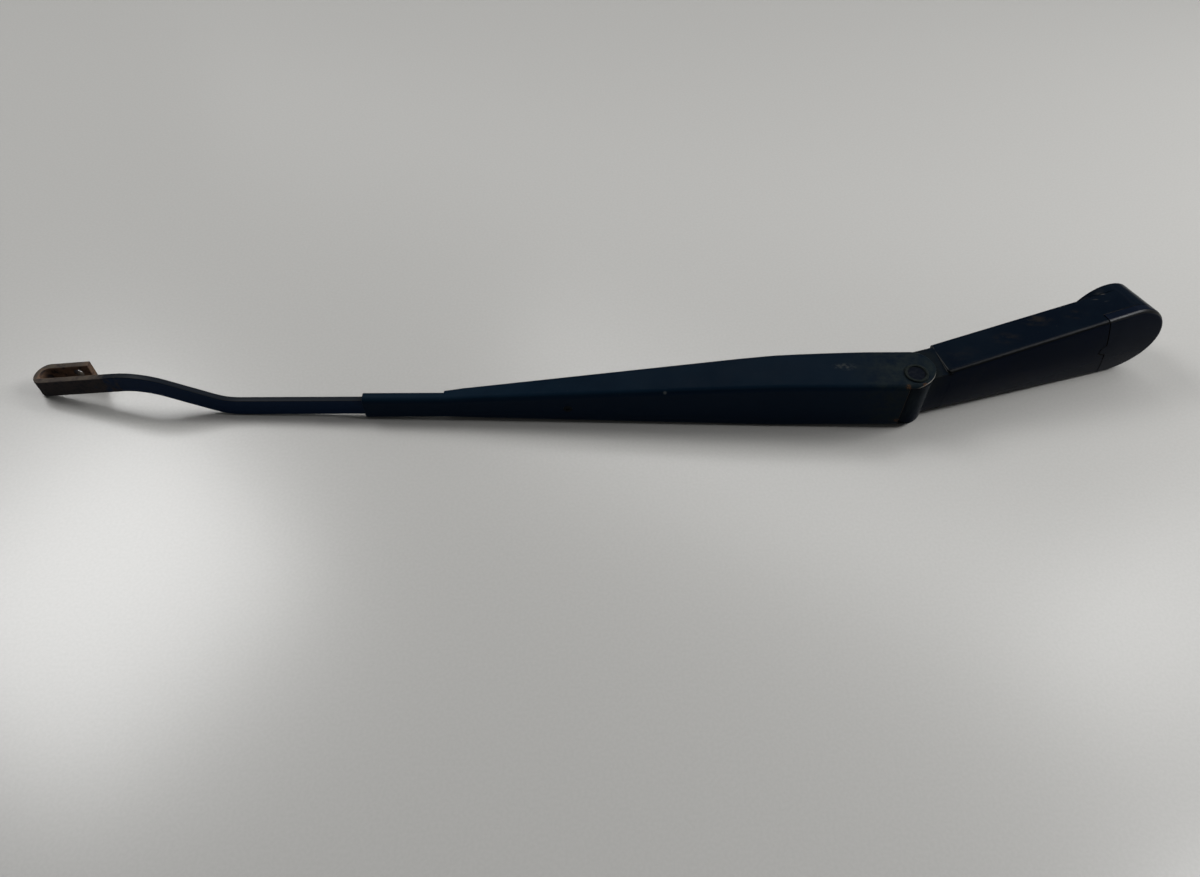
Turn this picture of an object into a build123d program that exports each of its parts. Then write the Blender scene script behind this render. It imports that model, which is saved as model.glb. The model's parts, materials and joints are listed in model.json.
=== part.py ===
from build123d import *
import math
import os

# Front windscreen wiper arm, lying on its side. Millimetres and degrees.
# While it is drawn, the hinge pin stands on the origin along Z, the sprung arm runs to -X,
# the outer face looks to -Y and the windscreen side is +Y.
# The head is drawn in its own frame, where x runs from the hinge to the spindle and y is the
# spindle axis, and is then turned about the pin by HEAD_ANGLE.
# In the end everything moves so that the middle of the spindle bore is the origin.

# Head casting
HEAD_ANGLE = 17.4
HINGE_TO_SPINDLE = 115.3
HEAD_FRONT = 4.3
HEAD_CROWN = 110.0
HEAD_DEPTH = 19.9
HEAD_DRAFT = 5.5
HEAD_EDGE = 2.2
SHOULDER_AT = 15.2
SHOULDER_HALF = 13.0
BOSS_RADIUS = 20.6
BOSS_DEPTH = 24.8
KNUCKLE_RADIUS = 7.7
NECK_STEP = 0.1
NECK_CHAMFER = 3.0
TONGUE_BACK = 14.0
POCKET_FLOOR = 4.4
POCKET_WALL = 3.0
POCKET_START = 22.0
POCKET_END = 86.0
POCKET_RIB = 3.0
POCKET_CORNER = 3.0

# Spindle seat and cap
SPINDLE_RADIUS = 5.0
BORE_LENGTH = 12.0
NUT_RECESS_RADIUS = 10.0
CAP_SKIRT = 6.8
CAP_WALL = 2.2
CAP_GAP = 0.2
CAP_SPIGOT_DEPTH = 3.5
CAP_SPIGOT_WALL = 1.2
CAP_JOINT_MIDDLE = 11.0
CAP_JOINT_SKEW = 16.5
CAP_TAB_REACH = 3.2
CAP_TAB_ROOT_HALF = 3.3
CAP_TAB_END_HALF = 1.7

# Hinge
PIN_RADIUS = 3.95
PIN_HEAD_RADIUS = 5.4
PIN_HEAD_HEIGHT = 0.75
PIN_DISH_RADIUS = 4.1
PIN_DISH_DEPTH = 0.6
BUSH_WALL = 1.0
BUSH_CLEARANCE = 0.05
SIDE_CLEARANCE = 0.5

# Sheet-steel retainer
SHEET = 1.3
WEB_FRONT = 8.4
BEND_RADIUS = 2.5
RETAINER_HALF = 13.4
RETAINER_LENGTH = 249.6
NECK_RUN = 7.6
NECK_HALF = 7.0
WIDE_FROM = 62.0
LIP_LENGTH = 38.0
LIP_SEAM = 2.4
CRIMP_RADIUS = 2.3
WALL_BACK = 13.7
WALL_BACK_NECK = -1.6
WALL_TURN_START = 20.0
WALL_TURN_MIDDLE = 50.0
WALL_TURN_END = 80.0
WALL_TURN_MIDDLE_DROP = 1.1
WALL_TURN_END_DROP = 3.2
WEB_CUT = 4.1
EAR_NOSE = 9.8

# Flat bar with the blade hook
BAR_WIDTH = 9.0
BAR_THICKNESS = 3.0
BAR_FIT = 0.05
BAR_SIDE_FIT = 0.7
TAIL_AT = 122.0
TAIL_BEND = 3.6
TAIL_HOLE_RADIUS = 2.5
TAIL_HOLE_RISE = 7.75
TAIL_RIM = 2.8
FIRST_BEND_AT = 311.7
BEND_RUN = 36.0
BEND_AWAY = 3.2
BEND_ASIDE = 13.4
BAR_BEND_RADIUS = 39.0
HOOK_REACH = 54.4
HOOK_AWAY_ANGLE = 6.3
HOOK_ASIDE_ANGLE = 11.5
HOOK_GAP = 5.9
HOOK_LENGTH = 26.2
HOOK_HOLE_RADIUS = 2.2
HOOK_HOLE_INSET = 6.6

# Rivet through the web and the bar
RIVET_AT = 157.0
RIVET_RADIUS = 2.0
RIVET_HEAD_RADIUS = 3.2
RIVET_HEAD_HEIGHT = 1.1
RIVET_DISH = 0.3

# Tension spring and its link
ANCHOR_ALONG = 5.0
ANCHOR_BEHIND = 10.0
ANCHOR_RADIUS = 2.0
ANCHOR_SEAT = 4.0
LINK_WIRE = 1.25
LINK_CLEARANCE = 0.05
LINK_SLOT_GAP = 0.8
LINK_BULGE = 5.0
LINK_CREST_END = 14.3
LINK_SHANK_END = 48.0
LINK_CORNER = 3.5
LINK_BUTTON = 2.2
LINK_BUTTON_LENGTH = 2.0
SLOT_CORE = 6.0
SLOT_FROM = 57.0
SLOT_TO = 219.0
SPRING_WIRE = 0.9
SPRING_RADIUS = 4.5
SPRING_TAIL_LOOP = 3.3
SPRING_START = 32.5
SPRING_CONE_TURNS = 4
SPRING_SHANK_GAP = 0.35

# Worked out from the sizes above
NECK_AT = RETAINER_LENGTH - LIP_LENGTH - NECK_RUN
TONGUE_HALF = RETAINER_HALF - SHEET - SIDE_CLEARANCE
BUSH_RADIUS = PIN_RADIUS + BUSH_CLEARANCE + BUSH_WALL
WEB_BACK = -WEB_FRONT + SHEET
BAR_FRONT = WEB_BACK + BAR_FIT
BAR_MIDDLE = BAR_FRONT + BAR_THICKNESS / 2
BAR_BACK = BAR_FRONT + BAR_THICKNESS
TIP_HALF = BAR_WIDTH / 2 + BAR_SIDE_FIT + SHEET
TIP_BACK = BAR_BACK + BAR_FIT + SHEET
CAP_SEAT = CAP_SKIRT - HEAD_FRONT
BOSS_BACK = BOSS_DEPTH - HEAD_FRONT
BORE_FRONT = BOSS_BACK - BORE_LENGTH
BORE_MIDDLE = BOSS_BACK - BORE_LENGTH / 2
TAIL_HOLE_Y = BAR_FRONT + TAIL_HOLE_RISE
TAIL_TOP = TAIL_HOLE_Y + TAIL_HOLE_RADIUS + TAIL_RIM
SECOND_BEND_AT = FIRST_BEND_AT + BEND_RUN
HOOK_TIP_AT = SECOND_BEND_AT + HOOK_REACH
BIG = 60.0

HEAD_TURN = Rot(0, 0, HEAD_ANGLE)
SPINDLE = HEAD_TURN * Pos(HINGE_TO_SPINDLE, BORE_MIDDLE, 0)
TO_ORIGIN = Pos(*(SPINDLE.position * -1))


def cross_plane(y):
    """Sketch plane that faces +Y at the given y: sketch x is X and sketch y is -Z."""
    return Plane(origin=(0, y, 0), x_dir=(1, 0, 0), z_dir=(0, 1, 0))


def round_along_y(radius, y_low, y_high, x=0.0, z=0.0):
    """Cylinder along Y between two stations."""
    return Pos(x, (y_low + y_high) / 2, z) * Rot(90, 0, 0) * Cylinder(radius, y_high - y_low)


def offset_points(points, distance):
    """Corner points of a polyline moved sideways, to its left for a positive distance."""
    directions = []
    for (x0, y0), (x1, y1) in zip(points, points[1:]):
        run = math.hypot(x1 - x0, y1 - y0)
        directions.append(((x1 - x0) / run, (y1 - y0) / run))
    moved = []
    for i, (x, y) in enumerate(points):
        before = directions[max(i - 1, 0)]
        after = directions[min(i, len(directions) - 1)]
        share = distance / (1 + before[0] * after[0] + before[1] * after[1])
        moved.append((x - share * (before[1] + after[1]), y + share * (before[0] + after[0])))
    return moved


def ribbon(points, radii, width):
    """Face of constant width along a polyline whose corners are rounded at their middle line."""
    sides = []
    for distance in (width / 2, -width / 2):
        corner_radii = []
        for i in range(1, len(points) - 1):
            (x0, y0), (x1, y1), (x2, y2) = points[i - 1:i + 2]
            left_turn = (x1 - x0) * (y2 - y1) - (y1 - y0) * (x2 - x1) > 0
            corner_radii.append(radii[i - 1] - distance if left_turn else radii[i - 1] + distance)
        sides.append(FilletPolyline(*offset_points(points, distance), radius=corner_radii))
    left, right = sides
    ends = [Line(left @ 0, right @ 0), Line(left @ 1, right @ 1)]
    return make_face([left, right] + ends)


def head_outline():
    """Front outline of the head: shoulder, straight flanks and the round end that they touch."""
    reach = HINGE_TO_SPINDLE - SHOULDER_AT
    flank = math.atan2(reach, SHOULDER_HALF) - math.acos(BOSS_RADIUS / math.hypot(SHOULDER_HALF, reach))
    touch = (HINGE_TO_SPINDLE - BOSS_RADIUS * math.sin(flank), BOSS_RADIUS * math.cos(flank))
    mirror_touch = (touch[0], -touch[1])
    outline = [
        Line((SHOULDER_AT, -SHOULDER_HALF), (SHOULDER_AT, SHOULDER_HALF)),
        Line((SHOULDER_AT, SHOULDER_HALF), touch),
        ThreePointArc(touch, (HINGE_TO_SPINDLE + BOSS_RADIUS, 0), mirror_touch),
        Line(mirror_touch, (SHOULDER_AT, -SHOULDER_HALF)),
    ]
    return make_face(outline), flank


def crown(step):
    """Large round bar whose front side is the head's crowned front, or lies a step behind it."""
    axis = Pos(HINGE_TO_SPINDLE / 2, HEAD_CROWN - HEAD_FRONT, 0) * Rot(0, 90, 0)
    return axis * Cylinder(HEAD_CROWN - step, 2 * HINGE_TO_SPINDLE)


def head_block():
    """Outer form of the head without its tongue: crowned front, drafted body and the deeper boss."""
    outline, _ = head_outline()
    body = extrude(cross_plane(-HEAD_FRONT) * outline, amount=HEAD_DEPTH, taper=HEAD_DRAFT)
    back_radius = BOSS_RADIUS - BOSS_DEPTH * math.tan(math.radians(HEAD_DRAFT))
    boss = Rot(-90, 0, 0) * Cone(BOSS_RADIUS, back_radius, BOSS_DEPTH)
    boss = Pos(HINGE_TO_SPINDLE, BOSS_DEPTH / 2 - HEAD_FRONT, 0) * boss
    block = (body + boss) & crown(0)
    drop = HEAD_CROWN - math.sqrt(HEAD_CROWN ** 2 - BOSS_RADIUS ** 2)
    front_edges = block.edges().filter_by_position(Axis.Y, -HEAD_FRONT - 0.01, -HEAD_FRONT + drop + 0.01)
    return fillet(front_edges, HEAD_EDGE)


def cap_zone(gap):
    """Space in front of the skewed joint line, with its tab, down to the cap's seat."""
    lean = math.tan(math.radians(CAP_JOINT_SKEW))
    middle = HINGE_TO_SPINDLE - CAP_JOINT_MIDDLE + gap
    root_half = CAP_TAB_ROOT_HALF - gap
    end_half = CAP_TAB_END_HALF - gap
    tab_end = middle - CAP_TAB_REACH
    corners = [
        (middle - BIG * lean, BIG),
        (middle - root_half * lean, root_half),
        (tab_end, end_half),
        (tab_end, -end_half),
        (middle + root_half * lean, -root_half),
        (middle + BIG * lean, -BIG),
        (HINGE_TO_SPINDLE + 2 * BIG, -BIG),
        (HINGE_TO_SPINDLE + 2 * BIG, BIG),
    ]
    plane = Plane(origin=(0, CAP_SEAT, 0), x_dir=(1, 0, 0), z_dir=(0, -1, 0))
    return extrude(plane * make_face(Polyline(*corners, close=True)), amount=BIG)


def cap_cavity():
    """Room inside the cap, one wall away from its rim and from the skewed joint."""
    roof = -HEAD_FRONT + CAP_WALL
    rim_radius = BOSS_RADIUS - CAP_SKIRT * math.tan(math.radians(HEAD_DRAFT))
    room = round_along_y(rim_radius - CAP_WALL, roof, CAP_SEAT, HINGE_TO_SPINDLE)
    joint_side = Pos(HINGE_TO_SPINDLE - CAP_JOINT_MIDDLE + CAP_GAP + 2 * CAP_WALL, 0, 0)
    keep = joint_side * Rot(0, -CAP_JOINT_SKEW, 0) * Pos(BIG, 0, 0) * Box(2 * BIG, 2 * BIG, 2 * BIG)
    return room & keep


def tongue():
    """Hinge knuckle and neck between the ears, slotted at the back for the spring link."""
    neck_end = SHOULDER_AT + HEAD_EDGE
    neck = make_face(Polyline(
        (0, -2 * HEAD_FRONT), (neck_end, -2 * HEAD_FRONT), (neck_end, TONGUE_BACK), (-NECK_CHAMFER, TONGUE_BACK),
        (-KNUCKLE_RADIUS, KNUCKLE_RADIUS), (-KNUCKLE_RADIUS, 0), close=True))
    solid = extrude(neck, amount=TONGUE_HALF, both=True) & crown(NECK_STEP)
    solid += extrude(Circle(KNUCKLE_RADIUS), amount=TONGUE_HALF, both=True)
    slot_half = LINK_WIRE + LINK_SLOT_GAP
    sweep_points = [(0, 0)]
    for step in range(5):
        angle = math.radians(SLOT_FROM + (SLOT_TO - SLOT_FROM) * step / 4)
        sweep_points.append((BIG * math.cos(angle), BIG * math.sin(angle)))
    slot = make_face(Polyline(*sweep_points, close=True)) - Circle(SLOT_CORE)
    eye_room = ANCHOR_RADIUS + LINK_CLEARANCE + 2 * LINK_WIRE + LINK_SLOT_GAP / 2
    slot += Pos(ANCHOR_ALONG, ANCHOR_BEHIND) * Circle(eye_room)
    return solid - extrude(slot, amount=slot_half, both=True)


def pockets():
    """Two casting pockets in the back of the head, with a rib between them."""
    _, flank = head_outline()
    floor = -HEAD_FRONT + POCKET_FLOOR
    inset = POCKET_WALL + HEAD_DEPTH * math.tan(math.radians(HEAD_DRAFT))
    length = (POCKET_END - POCKET_START - POCKET_RIB) / 2
    hollows = []
    for start in (POCKET_START, POCKET_START + length + POCKET_RIB):
        end = start + length
        low, high = [SHOULDER_HALF + (x - SHOULDER_AT) * math.tan(flank) - inset for x in (start, end)]
        corners = [(start, -low), (end, -high), (end, high), (start, low)]
        face = fillet(make_face(Polyline(*corners, close=True)).vertices(), POCKET_CORNER)
        hollows.append(extrude(cross_plane(floor) * face, amount=BIG))
    return hollows


def make_head(block):
    """Die-cast head in its own frame."""
    solid = block + tongue() - cap_zone(0.0)
    for hollow in pockets():
        solid -= hollow
    solid -= round_along_y(NUT_RECESS_RADIUS, CAP_SEAT - CAP_SKIRT, BORE_FRONT, HINGE_TO_SPINDLE)
    solid -= round_along_y(SPINDLE_RADIUS, 0, BIG, HINGE_TO_SPINDLE)
    solid -= Cylinder(BUSH_RADIUS, 2 * BIG)
    solid -= Pos(ANCHOR_ALONG, ANCHOR_BEHIND, 0) * Cylinder(ANCHOR_RADIUS, anchor_length())
    return solid


def make_cap(block):
    """Plastic cap over the spindle nut, with a ring that snaps into the nut recess."""
    roof = -HEAD_FRONT + CAP_WALL
    ring_end = CAP_SEAT + CAP_SPIGOT_DEPTH
    ring_radius = NUT_RECESS_RADIUS - CAP_GAP
    ring = round_along_y(ring_radius, roof - CAP_WALL / 4, ring_end, HINGE_TO_SPINDLE)
    ring -= round_along_y(ring_radius - CAP_SPIGOT_WALL, roof - CAP_WALL, ring_end, HINGE_TO_SPINDLE)
    return (block & cap_zone(CAP_GAP)) - cap_cavity() + ring


def anchor_length():
    return 2 * (LINK_WIRE + LINK_SLOT_GAP + ANCHOR_SEAT)


def make_anchor_pin():
    return Pos(ANCHOR_ALONG, ANCHOR_BEHIND, 0) * Cylinder(ANCHOR_RADIUS, anchor_length())


def make_bush():
    return Cylinder(BUSH_RADIUS, 2 * TONGUE_HALF) - Cylinder(PIN_RADIUS + BUSH_CLEARANCE, 2 * TONGUE_HALF)


def make_pin():
    """Riveted hinge pin: a shank through both ears and a dished head at each end."""
    pin = Cylinder(PIN_RADIUS, 2 * RETAINER_HALF)
    for side in (1, -1):
        top = side * (RETAINER_HALF + PIN_HEAD_HEIGHT)
        head = Pos(0, 0, top - side * PIN_HEAD_HEIGHT / 2) * Cylinder(PIN_HEAD_RADIUS, PIN_HEAD_HEIGHT)
        head -= Pos(0, 0, top) * Cylinder(PIN_DISH_RADIUS, 2 * PIN_DISH_DEPTH)
        rims = head.edges().filter_by_position(Axis.Z, top - 0.01, top + 0.01)
        pin += fillet(rims, (PIN_HEAD_RADIUS - PIN_DISH_RADIUS) / 3)
    return pin


def retainer_sides(inset, back):
    """Half outline of the retainer seen from the front, as (distance along the arm, half-width) corners."""
    end = EAR_NOSE + SHEET + back
    lip_end = -RETAINER_LENGTH + LIP_LENGTH - SHEET
    tip = [(-RETAINER_LENGTH - back, TIP_HALF - inset), (lip_end, TIP_HALF - inset)]
    wide = RETAINER_HALF - inset
    return tip + [(-NECK_AT, NECK_HALF - inset), (-WIDE_FROM, wide), (end, wide)]


def retainer_front_face(inset, back):
    """Front view of the retainer, mirrored about the middle plane."""
    half = retainer_sides(inset, back)
    return make_face(Polyline(*half, *[(x, -z) for x, z in reversed(half)], close=True))


def wall_outline(right_end):
    """Side view of the retainer: web at the front, back edge deepest at the hinge, low lips at the tip."""
    lip_end = -RETAINER_LENGTH + LIP_LENGTH
    turn_start = (-WALL_TURN_START, WALL_BACK)
    turn_end = (-WALL_TURN_END, WALL_BACK - WALL_TURN_END_DROP)
    corners = [(-NECK_AT, WALL_BACK_NECK), (lip_end - SHEET, TIP_BACK), (-RETAINER_LENGTH, TIP_BACK),
               (-RETAINER_LENGTH, -WEB_FRONT)]
    turn = ThreePointArc(turn_start, (-WALL_TURN_MIDDLE, WALL_BACK - WALL_TURN_MIDDLE_DROP), turn_end)
    return make_face([turn, Polyline(turn_end, *corners)] + right_end(turn_start, corners[-1]))


def square_end(start, finish):
    """Straight end beyond the ears, used for the folded blank."""
    end = EAR_NOSE + SHEET
    return [Polyline(start, (end, WALL_BACK), (end, -WEB_FRONT), finish)]


def eared_end(start, finish):
    """Rounded ears about the pin, from the web's cut edge round to the back edge."""
    web_end = (-WEB_CUT, -WEB_FRONT)
    nose = (EAR_NOSE, 0.36 * EAR_NOSE)
    back = (-0.1 * EAR_NOSE, WALL_BACK)
    return [Line(start, back),
            ThreePointArc(back, (0.68 * EAR_NOSE, 0.79 * WALL_BACK), nose),
            ThreePointArc(nose, (0.53 * EAR_NOSE, -0.6 * WEB_FRONT), web_end),
            Line(web_end, finish)]


def long_front_edges(solid, y):
    """Edges where the web turns into the walls."""
    edges = solid.edges().filter_by_position(Axis.Y, y - 0.01, y + 0.01)
    return edges.filter_by(Axis.Z, reverse=True)


def crimp_corner(side):
    """What is missing outside the rounded back corner of the lip that is crimped over the bar."""
    length = LIP_LENGTH
    corner = Box(length, 2 * CRIMP_RADIUS, 2 * CRIMP_RADIUS)
    corner -= Pos(0, -CRIMP_RADIUS, -side * CRIMP_RADIUS) * Rot(0, 90, 0) * Cylinder(CRIMP_RADIUS, length)
    corner -= Pos(0, -CRIMP_RADIUS - BIG / 2, 0) * Box(length, BIG, BIG)
    corner -= Pos(0, 0, -side * (CRIMP_RADIUS + BIG / 2)) * Box(length, BIG, BIG)
    middle = -RETAINER_LENGTH + LIP_LENGTH / 2 - SHEET
    return Pos(middle, TIP_BACK, side * TIP_HALF) * corner


def make_retainer():
    """Folded sheet-steel channel, crimped over the bar at its tip, with ears for the hinge pin."""
    blank = extrude(wall_outline(square_end), amount=BIG, both=True)
    blank &= extrude(cross_plane(-BIG) * retainer_front_face(0, 0), amount=2 * BIG)
    blank = fillet(long_front_edges(blank, -WEB_FRONT), BEND_RADIUS)
    hollow = extrude(cross_plane(WEB_BACK) * retainer_front_face(SHEET, SHEET), amount=BIG)
    hollow = fillet(long_front_edges(hollow, WEB_BACK), BEND_RADIUS - SHEET)
    lip_end = -RETAINER_LENGTH + LIP_LENGTH
    open_part = Pos(lip_end + BIG * 3, 0, 0) * Box(BIG * 6, BIG * 4, BIG * 4)
    solid = blank - (hollow & open_part)
    for side in (1, -1):
        solid -= crimp_corner(side)
    slot_half = BAR_WIDTH / 2 + BAR_SIDE_FIT
    slot_length = LIP_LENGTH + 2 * SHEET
    slot = Box(slot_length, TIP_BACK - SHEET - WEB_BACK, 2 * slot_half)
    solid -= Pos(lip_end - LIP_LENGTH / 2, (TIP_BACK - SHEET + WEB_BACK) / 2, 0) * slot
    solid -= Pos(lip_end - LIP_LENGTH / 2, TIP_BACK, 0) * Box(slot_length, 3 * SHEET, LIP_SEAM)
    solid &= extrude(wall_outline(eared_end), amount=BIG, both=True)
    cut_length = EAR_NOSE + WEB_CUT + 2 * SHEET
    cut = Box(cut_length, 2 * BIG, 2 * (RETAINER_HALF - SHEET))
    solid -= Pos(cut_length / 2 - WEB_CUT, 0, 0) * cut
    solid -= Cylinder(PIN_RADIUS, 4 * RETAINER_HALF)
    solid -= round_along_y(RIVET_RADIUS, -BIG, BAR_MIDDLE, -RIVET_AT)
    return solid


def hook_points():
    """Middle line of the bar seen from above: raised tail, straight run, offset and U-shaped hook."""
    away = math.radians(HOOK_AWAY_ANGLE)
    along = (-math.cos(away), math.sin(away))
    across = (math.sin(away), math.cos(away))
    second = (-SECOND_BEND_AT, BAR_MIDDLE + BEND_AWAY)
    leg = (HOOK_REACH - BAR_THICKNESS / 2) / math.cos(away)
    turn = (second[0] + along[0] * leg, second[1] + along[1] * leg)
    spacing = HOOK_GAP + BAR_THICKNESS
    turn_back = (turn[0] + across[0] * spacing, turn[1] + across[1] * spacing)
    back_leg = HOOK_LENGTH - BAR_THICKNESS / 2
    free_end = (turn_back[0] - along[0] * back_leg, turn_back[1] - along[1] * back_leg)
    tail = [(-TAIL_AT, TAIL_TOP), (-TAIL_AT, BAR_MIDDLE), (-FIRST_BEND_AT, BAR_MIDDLE)]
    return tail + [second, turn, turn_back, free_end]


def hook_height(x):
    """Height of the hook's middle line above the arm's middle plane at a place along the hook."""
    return BEND_ASIDE - (-SECOND_BEND_AT - x) * math.tan(math.radians(HOOK_ASIDE_ANGLE))


def make_bar():
    """Flat bar: its view from above and its view from the front, crossed."""
    points = hook_points()
    hook_radius = (HOOK_GAP + BAR_THICKNESS) / 2 - BAR_FIT
    radii = [TAIL_BEND, BAR_BEND_RADIUS, 2 * BAR_BEND_RADIUS, hook_radius, hook_radius]
    from_above = extrude(ribbon(points, radii, BAR_THICKNESS), amount=BIG, both=True)
    beyond = -HOOK_TIP_AT - BAR_THICKNESS
    route = [(-TAIL_AT + 2 * BAR_WIDTH, 0), (-FIRST_BEND_AT, 0), (-SECOND_BEND_AT, BEND_ASIDE),
             (beyond, hook_height(beyond))]
    front_plane = Plane(origin=(0, -BIG, 0), x_dir=(1, 0, 0), z_dir=(0, -1, 0))
    from_front = ribbon(route, [BAR_BEND_RADIUS, BAR_BEND_RADIUS], BAR_WIDTH)
    solid = from_above & extrude(front_plane * from_front, amount=-3 * BIG)
    free_x, free_y = points[-1]
    hole_x = free_x - HOOK_HOLE_INSET
    gap_middle = free_y - HOOK_GAP / 2
    solid -= round_along_y(HOOK_HOLE_RADIUS, gap_middle, free_y + BIG, hole_x, hook_height(hole_x))
    solid -= round_along_y(RIVET_RADIUS, -BIG, BAR_BACK + BAR_FIT, -RIVET_AT)
    solid -= Pos(-TAIL_AT, TAIL_HOLE_Y, 0) * Rot(0, 90, 0) * Cylinder(TAIL_HOLE_RADIUS, 3 * BAR_THICKNESS)
    return solid


def make_rivet():
    """Rivet that ties the bar's tail to the web: flush outside, with a formed head inside."""
    shank = round_along_y(RIVET_RADIUS, -WEB_FRONT, BAR_BACK, -RIVET_AT)
    head = round_along_y(RIVET_HEAD_RADIUS, BAR_BACK, BAR_BACK + RIVET_HEAD_HEIGHT, -RIVET_AT)
    top = head.edges().filter_by_position(
        Axis.Y, BAR_BACK + RIVET_HEAD_HEIGHT - 0.01, BAR_BACK + RIVET_HEAD_HEIGHT + 0.01)
    head = fillet(top, RIVET_HEAD_HEIGHT / 2)
    dish = round_along_y(RIVET_RADIUS / 2, -WEB_FRONT - RIVET_DISH, -WEB_FRONT + RIVET_DISH, -RIVET_AT)
    return shank + head - dish


def spring_frame():
    """Plane at the anchor pin: x along the spring to the bar's tail, y towards the windscreen side."""
    anchor = (HEAD_TURN * Pos(ANCHOR_ALONG, ANCHOR_BEHIND, 0)).position
    tail = Vector(-TAIL_AT, TAIL_HOLE_Y + TAIL_HOLE_RADIUS + TAIL_RIM / 2, 0)
    line = tail - anchor
    return Plane(origin=anchor, x_dir=line, z_dir=(0, 0, -1)), line.length


def make_link():
    """Swivel link: an eye on the anchor pin, a bow that swings round the hinge pin, and a buttoned shank."""
    frame, _ = spring_frame()
    eye = ANCHOR_RADIUS + LINK_CLEARANCE + LINK_WIRE
    start = (eye * math.cos(math.radians(50)), eye * math.sin(math.radians(50)))
    crest_start = (start[0] + LINK_BULGE - start[1], LINK_BULGE)
    crest_end = (LINK_CREST_END, LINK_BULGE)
    shank_start = (LINK_CREST_END + LINK_BULGE, 0)
    shank_end = (LINK_SHANK_END, 0)
    wire_path = FilletPolyline(start, crest_start, crest_end, shank_start, shank_end, radius=LINK_CORNER)
    section = Plane(origin=wire_path @ 0, z_dir=wire_path % 0) * Circle(LINK_WIRE)
    solid = sweep(section, path=wire_path)
    solid += Torus(eye, LINK_WIRE)
    button = Rot(0, 90, 0) * Cylinder(LINK_BUTTON, LINK_BUTTON_LENGTH)
    solid += Pos(LINK_SHANK_END - LINK_BUTTON_LENGTH / 2, 0, 0) * button
    return frame * solid


def make_spring():
    """Close-wound tension spring: ridged tube coned on to the link's shank, with a loop at the tail."""
    frame, length = spring_frame()
    coil_end = length - SPRING_TAIL_LOOP * 0.72
    turns = round((coil_end - SPRING_START) / (2 * SPRING_WIRE))
    pitch = (coil_end - SPRING_START) / turns
    wall = 2 * SPRING_WIRE
    mouth = LINK_WIRE + SPRING_SHANK_GAP
    inner = SPRING_RADIUS - wall
    cone_end = SPRING_START + SPRING_CONE_TURNS * pitch
    def inside(x):
        share = min((x - SPRING_START) / (cone_end - SPRING_START), 1)
        return mouth + share * (inner - mouth)
    valley = wall - SPRING_WIRE * 0.7
    profile = [(coil_end, inner), (cone_end, inner), (SPRING_START, mouth), (SPRING_START, mouth + valley)]
    for turn in range(turns):
        crest = SPRING_START + (turn + 0.5) * pitch
        groove = SPRING_START + (turn + 1) * pitch
        profile.append((crest, inside(crest) + wall))
        profile.append((groove, inside(groove) + valley))
    solid = revolve(make_face(Polyline(*profile, close=True)), axis=Axis.X)
    solid += Pos(length, 0, 0) * Torus(SPRING_TAIL_LOOP, SPRING_WIRE)
    return frame * solid


def main():
    block = head_block()
    pieces = {
        "head": HEAD_TURN * make_head(block),
        "spindle_cap": HEAD_TURN * make_cap(block),
        "spring_anchor_pin": HEAD_TURN * make_anchor_pin(),
        "hinge_bush": make_bush(),
        "hinge_pin": make_pin(),
        "retainer": make_retainer(),
        "wiper_bar": make_bar(),
        "bar_rivet": make_rivet(),
        "spring_link": make_link(),
        "tension_spring": make_spring(),
    }
    os.makedirs("parts", exist_ok=True)
    for name, piece in pieces.items():
        placed = TO_ORIGIN * piece
        print(name, len(placed.solids()), round(placed.volume, 1))
        export_step(placed, os.path.join("parts", name + ".step"))
    print("hinge at", TO_ORIGIN.position, "spindle axis", HEAD_ANGLE)


main()
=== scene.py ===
# %% [markdown]
# # A worn wiper arm on a pale table
#
# The object is the sprung arm that presses a blade on a car's windscreen. It lies on its side: the outer
# face looks to the viewer, the windscreen side is away, and the hinge pin stands nearly upright.
# The CAD model comes in first as a fixed frame. Everything after it is edge softening, a real wound
# spring, paint, rust, dirt, table and light. Places on the arm are given in millimetres from the middle of
# the hinge pin, because that point is easy to find on the real one.

# %% Load the frame
import bmesh
import bpy
import json
import math
from mathutils import Matrix, Vector
from mathutils.bvhtree import BVHTree


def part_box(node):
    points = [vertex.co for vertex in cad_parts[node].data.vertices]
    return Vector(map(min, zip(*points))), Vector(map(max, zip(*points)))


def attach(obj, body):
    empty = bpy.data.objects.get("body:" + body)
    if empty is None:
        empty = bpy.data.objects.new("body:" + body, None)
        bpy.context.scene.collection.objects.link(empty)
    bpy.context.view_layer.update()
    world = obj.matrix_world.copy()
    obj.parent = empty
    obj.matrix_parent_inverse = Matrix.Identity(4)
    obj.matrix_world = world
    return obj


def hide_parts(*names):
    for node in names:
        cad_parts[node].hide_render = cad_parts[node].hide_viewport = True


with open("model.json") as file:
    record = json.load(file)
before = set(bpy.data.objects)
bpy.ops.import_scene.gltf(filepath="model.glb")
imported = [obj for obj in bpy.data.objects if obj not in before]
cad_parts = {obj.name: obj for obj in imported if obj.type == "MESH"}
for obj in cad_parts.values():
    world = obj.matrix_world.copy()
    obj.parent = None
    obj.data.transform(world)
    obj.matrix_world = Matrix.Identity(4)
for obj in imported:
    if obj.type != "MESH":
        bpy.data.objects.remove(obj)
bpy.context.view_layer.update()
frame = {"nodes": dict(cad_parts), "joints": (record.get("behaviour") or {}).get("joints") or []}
joint_at = {j["name"]: Vector(j["pos_m"]) for j in frame["joints"] if "pos_m" in j}
HINGE = joint_at["arm_hinge"]
MM = 0.001
print("nodes", sorted(frame["nodes"]), "hinge", tuple(HINGE))

# %% [markdown]
# ## The camera
#
# The picture was taken from above and in front with a wide phone lens. A camera can be nudged until the
# picture fits, but a camera that is solved from the straight edges of the arm also gives the right
# perspective. It stands 0.44 m from the arm and looks down by about 51 degrees. Writing its place relative
# to the hinge keeps it right if the frame's origin ever moves.

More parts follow.
